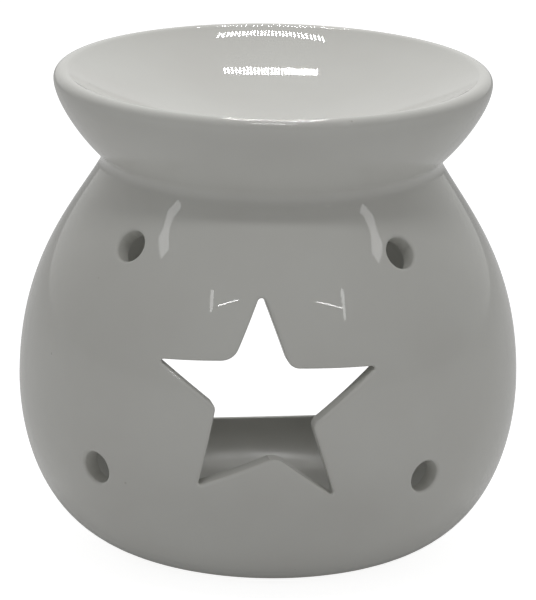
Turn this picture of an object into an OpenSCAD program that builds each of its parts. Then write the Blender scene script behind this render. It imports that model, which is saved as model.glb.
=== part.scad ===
// Ceramic tealight burner: a round glazed pot that a tealight stands in, with a shallow dish fused on top.
// Millimetres. Z is up, the origin is the centre of the foot, and the star window faces -Y.

/* [Pot] */
// Height of the joint between the pot and the dish
neck_h = 78.8; // [75:0.1:82]
// Widest radius of the pot
belly_r = 50; // [47:0.5:54]
// Height at which the pot is widest
belly_h = 33.7; // [30:0.1:38]
// Outer radius where the pot stands on its foot
foot_r = 29.4; // [27:0.1:32]
// Outer radius at the joint, in the bottom of the crease
neck_r = 33.3; // [32:0.1:35]
// Wall thickness of the pot
wall = 4; // [3.5:0.1:4.5]
// Thickness of the pot's floor
floor_t = 5; // [4:0.1:6]
// Radius of the hollow under the foot
foot_hollow_r = 23.5; // [20:0.5:25]
// Depth of the hollow under the foot
foot_hollow_t = 1.2; // [0.5:0.1:2]

/* [Dish] */
// Widest outer radius of the dish
dish_r = 43.54; // [41:0.1:46]
// Height of the centre of the rolled lip
lip_h = 94.4; // [92:0.1:98]
// Radius of the rolled lip
lip_r = 1.84; // [1.5:0.02:2.1]
// Height of the lowest point of the shallow dish
dish_floor_h = 83.6; // [82:0.1:85]
// Height of the dish's underside, over the flame
dish_under_h = 79.4; // [79:0.1:80.5]
// Slope of the dish where it meets its lip
dish_slope = 35; // [25:1:45]

/* [Joint] */
// How far the joining slip runs up and down from the crease, in steps of the outline
slip_steps = 1; // [1:1:2]
// How deep the face of the joining slip is hollowed, as a share of its width
slip_sag = 0.08; // [0.04:0.01:0.1]

/* [Star window] */
// Height of the centre of the star
star_h = 41.6; // [38:0.1:44]
// How far the centre of the star lies from the middle of the front
star_x = 0.5; // [-2:0.1:2]
// Angle between the knife that cut the star and the line to the back of the pot
star_yaw = 11; // [0:0.5:14]

/* [Vents] */
// Radius of each round vent
vent_r = 3.2; // [2.5:0.1:4]
// Angle from the front to each vent
vent_az = 41; // [36:0.5:44]
// Turn of the four vents together about the pot's axis
vent_turn = -1.7; // [-3:0.1:3]
// Height of the two lower vents
vent_low_h = 24.4; // [22:0.1:26]
// Height of the two upper vents, where they meet the outside of the shoulder
vent_high_h = 67.6; // [64:0.1:69]
// Distance from the pot's axis at which they meet it
vent_high_y = 40.1; // [38:0.1:43]
// Slope of the two upper vents, down towards the inside
vent_high_slope = 30; // [0:1:40]

/* [Doorway] */
// Half of the doorway's width
door_half_w = 23.5; // [20:0.5:25]
// Height of the doorway from its sill to the top of its arch
door_h = 34; // [30:0.5:36]
// Height of the sill's inner edge
door_sill_h = 12.1; // [11.5:0.1:13]
// Distance from the pot's axis to the sill's inner edge
door_sill_y = 40.3; // [39:0.1:42]
// Rounding of the doorway's two lower corners
door_corner_r = 6; // [3:0.5:8]
// Slope of the sill, down towards the outside
door_pitch = 18; // [0:1:25]
// Tilt of the doorway, which is cut by hand
door_tilt = 2.4; // [0:0.1:4]

/* [Hidden] */
$fn = 96;
glaze = "whitesmoke";
STEPS = 14;               // straight steps in each curve of an outline
CORNER_STEPS = 6;         // straight steps in each rounded corner
inner_belly_r = belly_r - wall;
neck_inner_r = neck_r - wall;
star_front_y = -belly_r;             // the star is laid out where the front bulges most
star_cut_l = 30;                     // from in front of the pot to inside its hollow
vent_cut_l = 20;
door_cut_l = 30;

// Points along a cubic curve with end points a and d, leaving out the first.
function curve(a, b, c, d) = [
    for (i = [1 : STEPS])
        let (t = i / STEPS, u = 1 - t)
            u * u * u * a + 3 * u * u * t * b + 3 * u * t * t * c + t * t * t * d
];

// Points along an arc about a centre.
function arc(centre, r, from, to, steps) = [
    for (i = [0 : steps])
        let (a = from + (to - from) * i / steps)
            centre + r * [cos(a), sin(a)]
];

function turned(v, a) = [v.x * cos(a) - v.y * sin(a), v.x * sin(a) + v.y * cos(a)];

// Arc that rounds the corner at p, whose neighbours are before and after.
function rounded_corner(before, p, after, r) =
    let (
        u = (before - p) / norm(before - p),
        v = (after - p) / norm(after - p),
        half = acos(u * v) / 2,
        middle = (u + v) / norm(u + v),
        centre = p + middle * r / sin(half),
        side = sign(u.x * v.y - u.y * v.x),
        sweep = 180 - 2 * half
    )
    [
        for (i = [0 : CORNER_STEPS])
            centre - r * turned(middle, side * sweep * (0.5 - i / CORNER_STEPS))
    ];

// Outer outlines, in the plane of radius and height.
pot_lower = concat(
    [[foot_r, 0]],
    curve([foot_r, 0], [foot_r + 17.4, 4.8], [belly_r, belly_h - 9.7], [belly_r, belly_h])
);
pot_upper = curve(
    [belly_r, belly_h], [belly_r, belly_h + 24.2], [neck_r + 5.4, neck_h - 10.4], [neck_r, neck_h]
);
dish_outer = concat(
    [[neck_r, neck_h]],
    curve([neck_r, neck_h], [neck_r + 4, neck_h + 3], [dish_r, lip_h - 4.2], [dish_r, lip_h])
);

// Inner outline of the pot, from its mouth down to its floor.
pot_inner = concat(
    [[neck_inner_r, neck_h]],
    curve(
        [neck_inner_r, neck_h], [neck_inner_r + 5, neck_h - 11],
        [inner_belly_r, belly_h + 22], [inner_belly_r, belly_h]
    ),
    curve(
        [inner_belly_r, belly_h], [inner_belly_r, belly_h - 15],
        [foot_r + 10, floor_t], [foot_r - 1, floor_t]
    )
);

// The dish: its rolled lip, its shallow bowl, and the hollow under it, which keeps its wall even.
lip_arc = arc([dish_r - lip_r, lip_h], lip_r, 0, 90 + dish_slope, STEPS);
bowl_edge = lip_arc[STEPS];
bowl = curve(
    bowl_edge, bowl_edge - 8 * [cos(dish_slope), sin(dish_slope)], [neck_r / 2, dish_floor_h], [0, dish_floor_h]
);
hollow_top = [neck_r + 1, neck_h + 7.6];
dish_hollow = concat(
    curve([0, dish_under_h], [neck_r / 2, dish_under_h], [neck_r - 6, hollow_top.y], hollow_top),
    curve(hollow_top, [neck_r + 1.7, neck_h + 5.6], [neck_inner_r + 2, neck_h + 1.6], [neck_inner_r, neck_h])
);

// The star's ten corners from its top point round: how far across from its middle, how far up from its
// centre, and the rounding there. It is cut by hand, so no two of its arms are alike.
star_corners = [
    [-0.5, 21, 0.8], [-6.4, 8.2, 4],
    [-20, 7.2, 0.4], [-9.8, -0.7, 1.5],
    [-12.8, -17, 0.4], [1.5, -10.2, 3],
    [13.2, -18.9, 0.4], [8.3, -3.9, 2],
    [21.6, 6.6, 0.4], [4.2, 7, 2.5]
];
function star_corner(i) = [star_corners[i % 10].x, star_corners[i % 10].y];
star_outline = [
    for (i = [0 : 9])
        each rounded_corner(star_corner(i + 9), star_corner(i), star_corner(i + 1), star_corners[i].z)
];

// The doorway above the middle of its sill: an arch over a straight sill with rounded corners.
door_corner_x = door_half_w - door_corner_r;
door_outline = concat(
    arc([0, door_h - door_half_w], door_half_w, 0, 180, 2 * STEPS),
    arc([-door_corner_x, door_corner_r], door_corner_r, 180, 270, CORNER_STEPS),
    arc([door_corner_x, door_corner_r], door_corner_r, 270, 360, CORNER_STEPS)
);

// A cutter that runs along +Y, with its outline seen from the front.
module through_y(length) {
    rotate([90, 0, 0])
        translate([0, 0, -length])
            linear_extrude(height = length)
                children();
}

module star_cut() {
    translate([star_x, star_front_y, star_h])
        rotate([0, 0, star_yaw])
            translate([0, -star_cut_l / 3, 0])
                through_y(star_cut_l)
                    polygon(star_outline);
}

module vent_cut(az, y, h, slope) {
    rotate([0, 0, az + vent_turn])
        translate([0, -y, h])
            rotate([90 - slope, 0, 0])
                cylinder(h = vent_cut_l, r = vent_r, center = true);
}

module doorway_cut() {
    translate([0, door_sill_y, door_sill_h])
        rotate([-door_pitch, 0, 0])
            rotate([0, -door_tilt, 0])
                translate([0, -door_cut_l / 3, 0])
                    through_y(door_cut_l)
                        polygon(door_outline);
}

module pot_body() {
    color(glaze)
        difference() {
            rotate_extrude()
                polygon(concat(
                    [[0, floor_t], [0, foot_hollow_t], [foot_hollow_r, foot_hollow_t],
                     [foot_hollow_r + foot_hollow_t, 0]],
                    pot_lower, pot_upper, pot_inner
                ));
            star_cut();
            doorway_cut();
            for (side = [-1, 1]) {
                vent_cut(side * vent_az, belly_r, vent_low_h, 0);
                vent_cut(side * vent_az, vent_high_y, vent_high_h, vent_high_slope);
            }
        }
}

module oil_dish() {
    color(glaze)
        rotate_extrude()
            polygon(concat(
                [[0, dish_under_h]],
                dish_hollow,
                dish_outer,
                [for (i = [1 : STEPS]) lip_arc[i]],
                bowl
            ));
}

// The slip follows the pot below the crease and the dish above it, and its face is a shallow hollow.
module neck_slip_seam() {
    low = pot_upper[len(pot_upper) - 1 - slip_steps];
    high = dish_outer[slip_steps];
    middle = (low + high) / 2;
    span = high - low;
    inward = [-span.y, span.x] * slip_sag;
    color(glaze)
        rotate_extrude()
            polygon(concat(
                [for (i = [len(pot_upper) - 1 - slip_steps : len(pot_upper) - 1]) pot_upper[i]],
                [for (i = [1 : slip_steps]) dish_outer[i]],
                [for (i = [1 : CORNER_STEPS - 1])
                    let (t = 2 * i / CORNER_STEPS - 1)
                        middle - t * span / 2 + (1 - t * t) * inward]
            ));
}

pot_body();
oil_dish();
neck_slip_seam();
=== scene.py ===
import math

import bmesh
import bpy
import numpy as np
from mathutils import Matrix, Vector
from mathutils.geometry import delaunay_2d_cdt


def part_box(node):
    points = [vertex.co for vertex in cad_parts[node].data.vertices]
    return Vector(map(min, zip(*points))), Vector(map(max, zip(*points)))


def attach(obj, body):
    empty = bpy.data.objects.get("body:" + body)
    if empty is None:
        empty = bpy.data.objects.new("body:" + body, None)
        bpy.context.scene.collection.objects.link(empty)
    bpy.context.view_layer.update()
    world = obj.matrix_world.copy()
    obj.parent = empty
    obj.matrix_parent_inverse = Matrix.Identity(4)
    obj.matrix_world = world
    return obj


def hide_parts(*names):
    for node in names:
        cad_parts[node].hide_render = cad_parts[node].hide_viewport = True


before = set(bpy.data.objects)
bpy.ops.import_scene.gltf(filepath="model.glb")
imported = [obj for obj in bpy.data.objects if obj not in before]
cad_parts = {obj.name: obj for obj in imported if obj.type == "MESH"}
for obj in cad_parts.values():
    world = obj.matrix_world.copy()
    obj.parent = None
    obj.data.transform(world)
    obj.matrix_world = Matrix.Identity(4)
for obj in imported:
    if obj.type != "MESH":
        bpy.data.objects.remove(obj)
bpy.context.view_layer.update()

MM = 0.001

# ---- Sizes ----

pot_low, pot_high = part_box("pot_body")
dish_low, dish_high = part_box("oil_dish")

BELLY_R = (pot_high.x - pot_low.x) / 2 / MM
NECK_H = pot_high.z / MM
DISH_R = (dish_high.x - dish_low.x) / 2 / MM
DISH_TOP_H = dish_high.z / MM

BELLY_H = 33.7
FOOT_R = 29.4
FOOT_HOLLOW_R = 23.5
FOOT_HOLLOW_T = 1.2
NECK_R = 33.3
WALL = 4.0
FLOOR_H = 5.0
SLIP_REACH = 2.4        # how far the joining slip runs along the pot and along the dish
LIP_R = 1.84
DISH_FLOOR_H = 83.6
DISH_UNDER_H = 79.4
DISH_SLOPE = 35
SLOPE_REACH = 8.0       # how far the bowl keeps that slope below its lip, as a handle of its curve

# The star is cut by hand: each corner's place across and up from its centre, and its rounding.
STAR_CORNERS = np.array([
    (-0.5, 21.0, 0.8), (-6.4, 8.2, 4.0),
    (-20.0, 7.2, 0.4), (-9.8, -0.7, 1.5),
    (-12.8, -17.0, 0.4), (1.5, -10.2, 3.0),
    (13.2, -18.9, 0.4), (8.3, -3.9, 2.0),
    (21.6, 6.6, 0.4), (4.2, 7.0, 2.5),
])
STAR_H = 41.6
STAR_X = 0.5
STAR_YAW = math.radians(11)

VENT_R = 3.2
VENT_ANGLE = math.radians(41)
VENT_TURN = math.radians(-1.7)
VENT_LOW_H = 24.4
VENT_HIGH_H = 67.6
VENT_HIGH_Y = 40.1
VENT_HIGH_SLOPE = math.radians(30)

DOOR_HALF_W = 23.5
DOOR_H = 34.0
DOOR_SILL_H = 12.1
DOOR_SILL_Y = 40.3
DOOR_CORNER_R = 6.0
DOOR_PITCH = math.radians(18)
DOOR_TILT = math.radians(2.4)

# How the meshes are divided.
TURNS = 192            # steps round the pot and the dish
ROW_STEP = 1.6         # distance between rows of points on the wall
CUT_STEP = 0.3         # distance between points round a cut
EDGE_STEPS = 6         # steps over the soft edge of a cut
OUTER_EDGE_R = 0.75    # roundness that the glaze gives to a cut's outer edge
INNER_EDGE_R = 0.6
GUARD = 0.5            # width of the strip that keeps the wall's shading off a soft edge
SHARP_ANGLE = math.radians(40)
MEET_ROUNDS = 30       # rounds of closing in on the place where a sloping cut meets a wall
SAME_POINT = 0.001
FACES_IN = 0.05        # a face whose normal points outwards by less than this has the dull glaze
BARE, DULL = 1, 2      # places of the bare clay and the dull glaze among the pot's materials


# ---- Outlines ----

def bezier(a, b, c, d, steps=40):
    """Points along a cubic curve, both ends included."""
    t = np.linspace(0, 1, steps + 1)[:, None]
    a, b, c, d = (np.array(p, float) for p in (a, b, c, d))
    return (1 - t) ** 3 * a + 3 * t * (1 - t) ** 2 * b + 3 * t * t * (1 - t) * c + t ** 3 * d


def arc(centre, radius, start, end, steps=24):
    """Points along an arc, with its angles in degrees and both ends included."""
    angle = np.radians(np.linspace(start, end, steps + 1))
    return np.array(centre) + radius * np.column_stack((np.cos(angle), np.sin(angle)))


def joined(*curves):
    """Curves end to end, with each shared point kept once."""
    points = np.vstack(curves)
    step = np.linalg.norm(np.diff(points, axis=0), axis=1)
    return points[np.concatenate(([True], step > SAME_POINT))]


def rounded_polygon(corners, radii):
    """A closed outline with an arc at each corner."""
    outline = []
    for i, (corner, radius) in enumerate(zip(corners, radii)):
        before = corners[i - 1] - corner
        after = corners[(i + 1) % len(corners)] - corner
        before /= np.linalg.norm(before)
        after /= np.linalg.norm(after)
        half = math.acos(before @ after) / 2
        middle = (before + after) / np.linalg.norm(before + after)
        centre = corner + middle * radius / math.sin(half)
        facing = math.degrees(math.atan2(-middle[1], -middle[0]))
        sweep = (90 - math.degrees(half)) * math.copysign(1, after[0] * before[1] - after[1] * before[0])
        outline.append(arc(centre, radius, facing - sweep, facing + sweep, 12))
    return np.vstack(outline)


def evenly_spaced(outline, step):
    """A closed outline with its points moved to even distances along it."""
    closed = np.vstack((outline, outline[:1]))
    along = np.concatenate(([0], np.cumsum(np.linalg.norm(np.diff(closed, axis=0), axis=1))))
    wanted = np.linspace(0, along[-1], math.ceil(along[-1] / step), endpoint=False)
    return np.column_stack([np.interp(wanted, along, closed[:, k]) for k in (0, 1)])


def turned(points, angle):
    c, s = math.cos(angle), math.sin(angle)
    return points @ np.array([[c, s], [-s, c]])


class Wall:
    """A surface of revolution whose outline rises from its first point to its last."""

    def __init__(self, outline):
        self.outline = outline
        self.along = np.concatenate(([0], np.cumsum(np.linalg.norm(np.diff(outline, axis=0), axis=1))))

    def radius_at(self, height):
        return np.interp(height, self.outline[:, 1], self.outline[:, 0])

    def along_at(self, height):
        return np.interp(height, self.outline[:, 1], self.along)

    def point_at(self, along):
        return np.column_stack([np.interp(along, self.along, self.outline[:, k]) for k in (0, 1)])


class Opening:
    """A straight cut through the walls. Its outline is laid out round origin, seen from outside the pot.

    azimuth turns the cut about the pot's axis, from one that goes in at the front. slope leans it down.
    """

    def __init__(self, outline, origin, azimuth, slope=0.0):
        c, s = math.cos(azimuth), math.sin(azimuth)
        self.outline = evenly_spaced(outline, CUT_STEP)
        self.origin = np.array(origin, float)
        self.side = np.array((c, s, 0))
        self.inward = np.array((-s * math.cos(slope), c * math.cos(slope), -math.sin(slope)))
        self.up = np.cross(self.side, self.inward)
        tangent = np.roll(self.outline, -1, axis=0) - np.roll(self.outline, 1, axis=0)
        tangent /= np.linalg.norm(tangent, axis=1)[:, None]
        self.away = np.column_stack((tangent[:, 1], -tangent[:, 0]))

    def ring(self, wall, grow, depth):
        """The outline, grown by grow, where it meets the wall, then moved inwards by depth."""
        flat = self.outline + grow * self.away
        base = self.origin + flat[:, :1] * self.side + flat[:, 1:] * self.up
        level = self.inward[:2] @ self.inward[:2]
        toward = base[:, :2] @ self.inward[:2]
        reach = np.zeros(len(base))
        for _ in range(MEET_ROUNDS):
            radius = wall.radius_at(base[:, 2] + reach * self.inward[2])
            rest = (base[:, :2] ** 2).sum(1) - radius ** 2
            reach = (-toward - np.sqrt(toward ** 2 - level * rest)) / level
        return base + (reach + depth)[:, None] * self.inward


def star_outline():
    return rounded_polygon(STAR_CORNERS[:, :2], STAR_CORNERS[:, 2])


def door_outline():
    corner_x = DOOR_HALF_W - DOOR_CORNER_R
    arch = arc((0, DOOR_H - DOOR_HALF_W), DOOR_HALF_W, 0, 180, 90)
    left = arc((-corner_x, DOOR_CORNER_R), DOOR_CORNER_R, 180, 270)
    right = arc((corner_x, DOOR_CORNER_R), DOOR_CORNER_R, 270, 360)
    return turned(np.vstack((arch, left, right)), -DOOR_TILT)


def vent(side, distance, height, slope=0.0):
    azimuth = side * VENT_ANGLE + VENT_TURN
    origin = (distance * math.sin(azimuth), -distance * math.cos(azimuth), height)
    return Opening(arc((0, 0), VENT_R, 0, 360, 60)[:-1], origin, azimuth, slope)


def pot_openings():
    openings = [
        Opening(star_outline(), (STAR_X, -BELLY_R, STAR_H), STAR_YAW),
        Opening(door_outline(), (0, DOOR_SILL_Y, DOOR_SILL_H), math.pi, -DOOR_PITCH),
    ]
    for side in (-1, 1):
        openings.append(vent(side, BELLY_R, VENT_LOW_H))
        openings.append(vent(side, VENT_HIGH_Y, VENT_HIGH_H, VENT_HIGH_SLOPE))
    return openings


# ---- Meshes ----

class Shape:
    """Points in millimetres and the faces between them, added to piece by piece."""

    def __init__(self):
        self.points = []
        self.faces = []
        self.count = 0

    def add(self, points, faces):
        self.points.append(np.asarray(points, float))
        self.faces += [tuple(self.count + i for i in face) for face in faces]
        self.count += len(points)

    def add_bands(self, rings, closed=True):
        """Quads between rings of points, each ring with as many points as the next."""
        n = len(rings[0])
        last = n if closed else n - 1
        faces = [
            (k * n + i, k * n + (i + 1) % n, (k + 1) * n + (i + 1) % n, (k + 1) * n + i)
            for k in range(len(rings) - 1)
            for i in range(last)
        ]
        self.add(np.vstack(rings), faces)

    def add_turned(self, outline):
        """The surface that an outline makes when it turns about the axis."""
        angle = 2 * math.pi * np.arange(TURNS) / TURNS
        self.add_bands([
            np.column_stack((r * np.cos(angle), r * np.sin(angle), np.full(TURNS, z)))
            for r, z in outline
        ])

    def build(self, name, materials):
        mesh = bpy.data.meshes.new(name)
        mesh.from_pydata((np.vstack(self.points) * MM).tolist(), [], self.faces)
        work = bmesh.new()
        work.from_mesh(mesh)
        bmesh.ops.remove_doubles(work, verts=work.verts, dist=SAME_POINT * MM)
        bmesh.ops.dissolve_degenerate(work, edges=work.edges, dist=SAME_POINT * MM)
        bmesh.ops.recalc_face_normals(work, faces=work.faces)
        open_edges = sum(1 for edge in work.edges if len(edge.link_faces) != 2)
        if open_edges:
            print(f"{name}: {open_edges} open edges")
        work.to_mesh(mesh)
        work.free()
        mesh.shade_smooth()
        mesh.set_sharp_from_angle(angle=SHARP_ANGLE)
        for material in materials:
            mesh.materials.append(material)
        piece = bpy.data.objects.new(name, mesh)
        bpy.context.scene.collection.objects.link(piece)
        return piece


def inside(points, outline):
    """Which points lie inside a closed outline."""
    x, y = points[:, :1], points[:, 1:]
    x1, y1 = outline.T
    x2, y2 = np.roll(outline, -1, axis=0).T
    crosses = ((y1 > y) != (y2 > y)) & (x < (x2 - x1) * (y - y1) / (y2 - y1 + 1e-12) + x1)
    return crosses.sum(1) % 2 == 1


def spread_out(points, wall):
    """Points on the wall, laid flat as distance round it and distance up it. It is slit at +X."""
    angle = np.arctan2(points[:, 1], points[:, 0]) % (2 * math.pi)
    return np.column_stack((angle * BELLY_R, wall.along_at(points[:, 2])))


def rolled_up(flat, wall):
    r, z = wall.point_at(flat[:, 1]).T
    angle = flat[:, 0] / BELLY_R
    return np.column_stack((r * np.cos(angle), r * np.sin(angle), z))


def add_wall(shape, wall, openings, edge_r):
    """The wall as triangles, with a hole at each opening's soft edge."""
    width = 2 * math.pi * BELLY_R
    rows = math.ceil(wall.along[-1] / ROW_STEP)
    grid = []
    for row in range(rows + 1):
        shift = 0.5 * (row % 2) if row < rows else 0
        across = (np.arange(TURNS + 1) + shift).clip(0, TURNS) * width / TURNS
        if shift:
            across = np.concatenate(([0], across))
        grid.append(np.column_stack((across, np.full(len(across), wall.along[-1] * row / rows))))
    grid = np.vstack(grid)
    grid = grid[np.unique(np.round(grid, 6), axis=0, return_index=True)[1]]

    flat, solid, edges, holes = [], [], [], []
    keep = np.ones(len(grid), bool)
    for opening in openings:
        edge = opening.ring(wall, edge_r, 0)
        guard = opening.ring(wall, edge_r + GUARD, 0)
        near = opening.ring(wall, edge_r + GUARD + ROW_STEP / 3, 0)
        keep &= ~inside(grid, spread_out(near, wall))
        start = sum(len(part) for part in flat)
        n = len(edge)
        edges += [(start + i, start + (i + 1) % n) for i in range(n)]
        flat += [spread_out(edge, wall), spread_out(guard[::2], wall)]
        solid += [edge, guard[::2]]
        holes.append(flat[-2])
    flat.append(grid[keep])
    solid.append(rolled_up(grid[keep], wall))
    flat, solid = np.vstack(flat), np.vstack(solid)

    result = delaunay_2d_cdt([Vector(p) for p in flat], edges, [], 0, 1e-7, True)
    source = [ids[0] for ids in result[3]]
    triangles = np.array([[source[i] for i in face] for face in result[2]])
    centres = flat[triangles].mean(1)
    shown = np.ones(len(triangles), bool)
    for hole in holes:
        shown &= ~inside(centres, hole)
    shape.add(solid, triangles[shown].tolist())


def add_cut(shape, opening, outer, inner):
    """The wall of a cut, with its outer and inner edges rounded over."""
    turn = np.linspace(0, math.pi / 2, EDGE_STEPS + 1)
    rings = [
        opening.ring(outer, OUTER_EDGE_R * (1 - math.sin(a)), OUTER_EDGE_R * (1 - math.cos(a)))
        for a in turn
    ]
    rings += [
        opening.ring(inner, INNER_EDGE_R * (1 - math.sin(a)), -INNER_EDGE_R * (1 - math.cos(a)))
        for a in turn[::-1]
    ]
    shape.add_bands(rings)


# ---- The three parts ----

outer_wall = Wall(joined(
    bezier((FOOT_R, 0), (FOOT_R + 17.4, 4.8), (BELLY_R, BELLY_H - 9.7), (BELLY_R, BELLY_H)),
    bezier((BELLY_R, BELLY_H), (BELLY_R, BELLY_H + 24.2), (NECK_R + 5.4, NECK_H - 10.4), (NECK_R, NECK_H)),
))
inner_wall = Wall(joined(
    bezier((FOOT_R - 1, FLOOR_H), (FOOT_R + 10, FLOOR_H), (BELLY_R - WALL, BELLY_H - 15),
           (BELLY_R - WALL, BELLY_H)),
    bezier((BELLY_R - WALL, BELLY_H), (BELLY_R - WALL, BELLY_H + 22), (NECK_R - WALL + 5, NECK_H - 11),
           (NECK_R - WALL, NECK_H)),
))
LIP_H = DISH_TOP_H - LIP_R
dish_outer = bezier((NECK_R, NECK_H), (NECK_R + 4, NECK_H + 3), (DISH_R, LIP_H - 4.2), (DISH_R, LIP_H))
dish_lip = arc((DISH_R - LIP_R, LIP_H), LIP_R, 0, 90 + DISH_SLOPE)
slope = math.radians(DISH_SLOPE)
bowl_handle = dish_lip[-1] - SLOPE_REACH * np.array((math.cos(slope), math.sin(slope)))
dish_bowl = bezier(dish_lip[-1], bowl_handle, (NECK_R / 2, DISH_FLOOR_H), (0, DISH_FLOOR_H))
hollow_top = (NECK_R + 1, NECK_H + 7.6)
dish_hollow = joined(
    bezier((0, DISH_UNDER_H), (NECK_R / 2, DISH_UNDER_H), (NECK_R - 6, hollow_top[1]), hollow_top),
    bezier(hollow_top, (NECK_R + 1.7, NECK_H + 5.6), (NECK_R - WALL + 2, NECK_H + 1.6),
           (NECK_R - WALL, NECK_H)),
)


def pot_body(glaze, bisque, inner_glaze):
    """The pot: glossy outside, duller inside and in the hollow under its foot, and bare where it stands."""
    shape = Shape()
    openings = pot_openings()
    add_wall(shape, outer_wall, openings, OUTER_EDGE_R)
    add_wall(shape, inner_wall, openings, INNER_EDGE_R)
    for opening in openings:
        add_cut(shape, opening, outer_wall, inner_wall)
    floor_rings = np.linspace(FOOT_R - 1, 0, 12)
    shape.add_turned([(r, FLOOR_H) for r in floor_rings])
    shape.add_turned([(NECK_R, NECK_H), (NECK_R - WALL, NECK_H)])
    shape.add_turned([(FOOT_R, 0), (FOOT_HOLLOW_R + FOOT_HOLLOW_T, 0), (FOOT_HOLLOW_R, FOOT_HOLLOW_T),
                      (FOOT_HOLLOW_R / 2, FOOT_HOLLOW_T), (0, FOOT_HOLLOW_T)])
    piece = shape.build("pot_body_glazed", [glaze, bisque, inner_glaze])
    for polygon in piece.data.polygons:
        outward = polygon.normal.xy.dot(polygon.center.xy.normalized())
        if polygon.center.z < FOOT_HOLLOW_T * MM:
            polygon.material_index = BARE
        elif outward < FACES_IN:
            polygon.material_index = DULL
    return piece


def oil_dish(glaze):
    shape = Shape()
    shape.add_turned(joined(dish_hollow, dish_outer, dish_lip, dish_bowl))
    return shape.build("oil_dish_glazed", [glaze])


def neck_slip_seam(glaze, reach=SLIP_REACH):
    """The ring in the crease, whose face runs smoothly from the pot's slope to the dish's."""
    pot_side = outer_wall.point_at(np.linspace(outer_wall.along[-1] - reach, outer_wall.along[-1], 9))
    dish_wall = Wall(dish_outer)
    dish_side = dish_wall.point_at(np.linspace(0, reach, 9))
    low, high = pot_side[0], dish_side[-1]
    up = (pot_side[1] - low) / np.linalg.norm(pot_side[1] - low)
    down = (dish_side[-2] - high) / np.linalg.norm(dish_side[-2] - high)
    face = bezier(high, high + down * reach * 0.6, low + up * reach * 0.6, low, 24)
    shape = Shape()
    shape.add_turned(joined(pot_side, dish_side, face[1:]))
    return shape.build("neck_slip_seam_glazed", [glaze])


# ---- Materials ----

class Nodes:
    """A node tree with a short way to add a node and link it."""

    def __init__(self, tree):
        self.tree = tree

    def add(self, kind, **inputs):
        node = self.tree.nodes.new(kind)
        for name, value in inputs.items():
            socket = node.inputs[name.replace("_", " ")]
            if isinstance(value, bpy.types.NodeSocket):
                self.tree.links.new(value, socket)
            else:
                socket.default_value = value
        return node

    def link(self, source, target):
        self.tree.links.new(source, target)

    def math(self, operation, a, b):
        node = self.add("ShaderNodeMath")
        node.operation = operation
        self.link(a, node.inputs[0])
        self.link(b, node.inputs[1])
        return node.outputs[0]


def new_material(name):
    material = bpy.data.materials.new(name)
    material.use_nodes = True
    nodes = Nodes(material.node_tree)
    return material, nodes, material.node_tree.nodes["Principled BSDF"]


def noise(nodes, place, scale, detail=2.0):
    return nodes.add("ShaderNodeTexNoise", Vector=place, Scale=scale, Detail=detail).outputs["Fac"]


def remapped(nodes, value, low, high, to_low, to_high):
    node = nodes.add("ShaderNodeMapRange", Value=value, From_Min=low, From_Max=high,
                     To_Min=to_low, To_Max=to_high)
    return node.outputs["Result"]


def glaze_material(name, smoothest, roughest):
    """White glaze between two roughnesses: a little wavy, faintly clouded, with a few pitted iron specks."""
    material, nodes, shader = new_material(name)
    place = nodes.add("ShaderNodeTexCoord").outputs["Object"]

    cloud = noise(nodes, place, 45, 3)
    colour = nodes.add("ShaderNodeMixRGB", Fac=remapped(nodes, cloud, 0.35, 0.65, 0, 1),
                       Color1=(0.80, 0.80, 0.765, 1), Color2=(0.775, 0.77, 0.735, 1)).outputs["Color"]
    cells = nodes.add("ShaderNodeTexVoronoi", Vector=place, Scale=330)
    rare = nodes.add("ShaderNodeSeparateColor", Color=cells.outputs["Color"]).outputs["Red"]
    chosen = remapped(nodes, rare, 0.97, 0.975, 0, 1)
    near = remapped(nodes, cells.outputs["Distance"], 0.05, 0.11, 1, 0)
    speck = nodes.math("MULTIPLY", chosen, near)
    specked = nodes.add("ShaderNodeMixRGB", Fac=remapped(nodes, speck, 0, 1, 0, 0.3),
                        Color1=colour, Color2=(0.36, 0.32, 0.27, 1)).outputs["Color"]
    nodes.link(specked, shader.inputs["Base Color"])

    patches = noise(nodes, place, 120)
    nodes.link(remapped(nodes, patches, 0.3, 0.7, smoothest, roughest), shader.inputs["Roughness"])
    shader.inputs["IOR"].default_value = 1.5

    wave = nodes.add("ShaderNodeBump", Strength=0.4, Distance=0.0004, Height=noise(nodes, place, 38, 1))
    peel = nodes.add("ShaderNodeBump", Strength=0.04, Distance=0.00004, Height=noise(nodes, place, 420, 2),
                     Normal=wave.outputs["Normal"])
    pits = nodes.add("ShaderNodeBump", Strength=0.6, Distance=0.0001, Height=speck,
                     Normal=peel.outputs["Normal"])
    pits.invert = True
    nodes.link(pits.outputs["Normal"], shader.inputs["Normal"])
    return material


def bisque_material():
    """The bare fired clay of the foot ring: matt, fine-grained and rubbed a little grey."""
    material, nodes, shader = new_material("bare_foot")
    place = nodes.add("ShaderNodeTexCoord").outputs["Object"]
    grain = noise(nodes, place, 2600, 4)
    rubbed = noise(nodes, place, 130, 4)
    colour = nodes.add("ShaderNodeMixRGB", Fac=remapped(nodes, rubbed, 0.4, 0.7, 0, 0.6),
                       Color1=(0.72, 0.68, 0.60, 1), Color2=(0.55, 0.52, 0.46, 1)).outputs["Color"]
    nodes.link(colour, shader.inputs["Base Color"])
    nodes.link(remapped(nodes, grain, 0.3, 0.7, 0.75, 0.92), shader.inputs["Roughness"])
    bump = nodes.add("ShaderNodeBump", Strength=0.5, Distance=0.00008, Height=grain)
    nodes.link(bump.outputs["Normal"], shader.inputs["Normal"])
    return material


# ---- The stage ----

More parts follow.
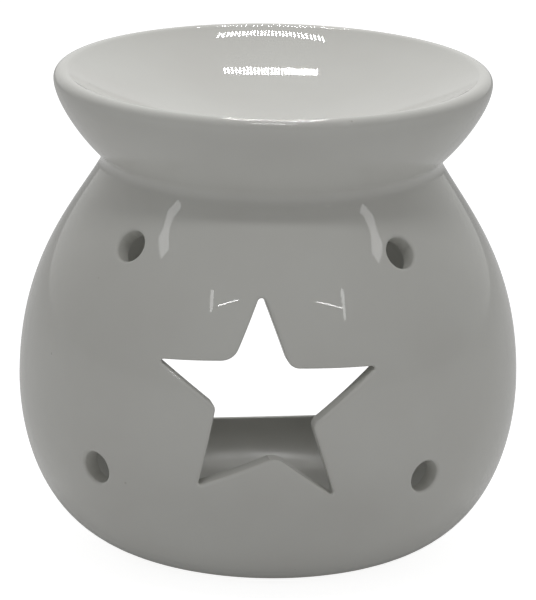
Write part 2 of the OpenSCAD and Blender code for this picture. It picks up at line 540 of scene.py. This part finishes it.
CAMERA_AWAY = 1.0
CAMERA_LIFT = math.radians(15.91)
CAMERA_ROLL = math.radians(1.04)
CAMERA_LENS = 298.8
PIVOT_H = 0.045
AIM = Vector((-0.00024, 0, 0.0488))
FLOOR_HALF = 3.0
FLOOR_GAP = 0.0001     # how far the floor lies under the foot, so that their faces are never level
SEEN_GLOW, SEEN_GREY = 0.9, 0.4          # the floor as the camera sees it
CAST_GLOW, CAST_GREY = 0.1, 0.6          # the floor as it lights the burner
ROOF_H = 0.49
ROW_LAMPS = 28
LAMP_SHARE = 0.35      # how much of its place in the row each lamp fills
ROOF_LED = 92          # brightness of the lamps, and below of the seams
FRONT_LED = 66
SIDE_SEAM = 2.5
FRONT_SEAM = 25
CORNER_SEAM = 4


def camera():
    data = bpy.data.cameras.new("camera")
    data.lens = CAMERA_LENS
    data.clip_end = 10
    eye = bpy.data.objects.new("camera", data)
    eye.location = (0, -CAMERA_AWAY * math.cos(CAMERA_LIFT), PIVOT_H + CAMERA_AWAY * math.sin(CAMERA_LIFT))
    facing = (AIM - eye.location).to_track_quat("-Z", "Y")
    eye.rotation_euler = (facing.to_matrix() @ Matrix.Rotation(CAMERA_ROLL, 3, "Z")).to_euler()
    bpy.context.scene.collection.objects.link(eye)
    bpy.context.scene.camera = eye


def glowing(nodes, glow, grey):
    """A matt surface that also gives a little light of its own."""
    both = nodes.add("ShaderNodeAddShader")
    nodes.link(nodes.add("ShaderNodeEmission", Color=(1, 1, 1, 1), Strength=glow).outputs[0], both.inputs[0])
    nodes.link(nodes.add("ShaderNodeBsdfDiffuse", Color=(grey, grey, grey, 1)).outputs[0], both.inputs[1])
    return both.outputs[0]


def floor():
    """A pale floor. The camera sees it nearly white, and the burner is lit by it as by a pale grey one."""
    h = FLOOR_HALF
    mesh = bpy.data.meshes.new("floor")
    mesh.from_pydata([(-h, -h, 0), (h, -h, 0), (h, h, 0), (-h, h, 0)], [], [(0, 1, 2, 3)])
    plane = bpy.data.objects.new("floor", mesh)
    plane.location.z = -FLOOR_GAP
    bpy.context.scene.collection.objects.link(plane)
    material = bpy.data.materials.new("floor")
    material.use_nodes = True
    material.node_tree.nodes.clear()
    nodes = Nodes(material.node_tree)
    mix = nodes.add("ShaderNodeMixShader", Fac=nodes.add("ShaderNodeLightPath").outputs["Is Camera Ray"])
    nodes.link(glowing(nodes, CAST_GLOW, CAST_GREY), mix.inputs[1])
    nodes.link(glowing(nodes, SEEN_GLOW, SEEN_GREY), mix.inputs[2])
    nodes.link(mix.outputs[0], nodes.add("ShaderNodeOutputMaterial").inputs["Surface"])
    mesh.materials.append(material)


def lamp(name, place, size, brightness, turn=0.0):
    """A glowing panel that faces down. Brightness is its radiance, so its power grows with its size."""
    data = bpy.data.lights.new(name, "AREA")
    data.shape = "RECTANGLE"
    data.size, data.size_y = size
    data.energy = brightness * math.pi * size[0] * size[1]
    panel = bpy.data.objects.new(name, data)
    panel.location = place
    panel.rotation_euler = (0, 0, turn)
    bpy.context.scene.collection.objects.link(panel)


def seam(name, start, end, width, brightness):
    """A bright seam in the roof of the tent between two points."""
    run = Vector(end) - Vector(start)
    middle = (Vector(start) + Vector(end)) / 2
    lamp(name, (middle.x, middle.y, ROOF_H), (run.length, width), brightness, math.atan2(run.y, run.x))


def lamp_row(name, x_from, x_to, y, depth, brightness, bow=0.0):
    """A row of narrow lamps across the roof of the tent, with its ends behind its middle by bow."""
    pitch = (x_to - x_from) / ROW_LAMPS
    for i in range(ROW_LAMPS):
        from_middle = (2 * i + 1) / ROW_LAMPS - 1
        place = (x_from + (i + 0.5) * pitch, y + bow * from_middle ** 2, ROOF_H)
        lamp(f"{name}_{i}", place, (pitch * LAMP_SHARE, depth), brightness)


def studio():
    """Soft light from a tent that is brighter above and behind, with rows of LEDs and seams in its roof."""
    world = bpy.data.worlds.new("studio")
    bpy.context.scene.world = world
    world.use_nodes = True
    nodes = Nodes(world.node_tree)
    background = world.node_tree.nodes["Background"]
    direction = nodes.add("ShaderNodeTexCoord").outputs["Generated"]
    toward = nodes.add("ShaderNodeSeparateXYZ", Vector=direction).outputs
    walls = remapped(nodes, toward["Z"], 0, 1, 0.115, 0.32)
    backdrop = remapped(nodes, toward["Y"], 0.1, 1, 0, 0.6)
    nodes.link(nodes.math("ADD", walls, backdrop), background.inputs["Strength"])
    background.inputs["Color"].default_value = (1, 1, 0.985, 1)
    lamp_row("near_leds", -0.064, 0.072, 0.137, 0.028, ROOF_LED, bow=0.039)
    lamp_row("far_leds", -0.054, 0.058, 0.297, 0.027, ROOF_LED, bow=0.025)
    lamp_row("front_leds", -0.060, 0.065, -0.2, 0.028, FRONT_LED)
    for side in (-1, 1):
        lamp("side_seam", (side * 0.53, -0.185, ROOF_H), (0.06, 0.08), SIDE_SEAM)
    seam("front_left", (-0.333, -0.634), (-0.179, -0.603), 0.006, FRONT_SEAM)
    seam("front_right", (0.290, -0.589), (0.481, -0.595), 0.006, FRONT_SEAM)
    seam("corner_left", (-0.316, -0.507), (-0.398, -0.685), 0.02, CORNER_SEAM)
    seam("corner_right", (0.404, -0.465), (0.580, -0.714), 0.02, CORNER_SEAM)
    bpy.context.scene.view_settings.view_transform = "Standard"


glaze = glaze_material("white_glaze", 0.015, 0.03)
inner_glaze = glaze_material("inner_glaze", 0.3, 0.4)
for made, node in (
    (pot_body(glaze, bisque_material(), inner_glaze), "pot_body"),
    (oil_dish(glaze), "oil_dish"),
    (neck_slip_seam(glaze), "neck_slip_seam"),
):
    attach(made, "root")
    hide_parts(node)

camera()
floor()
studio()
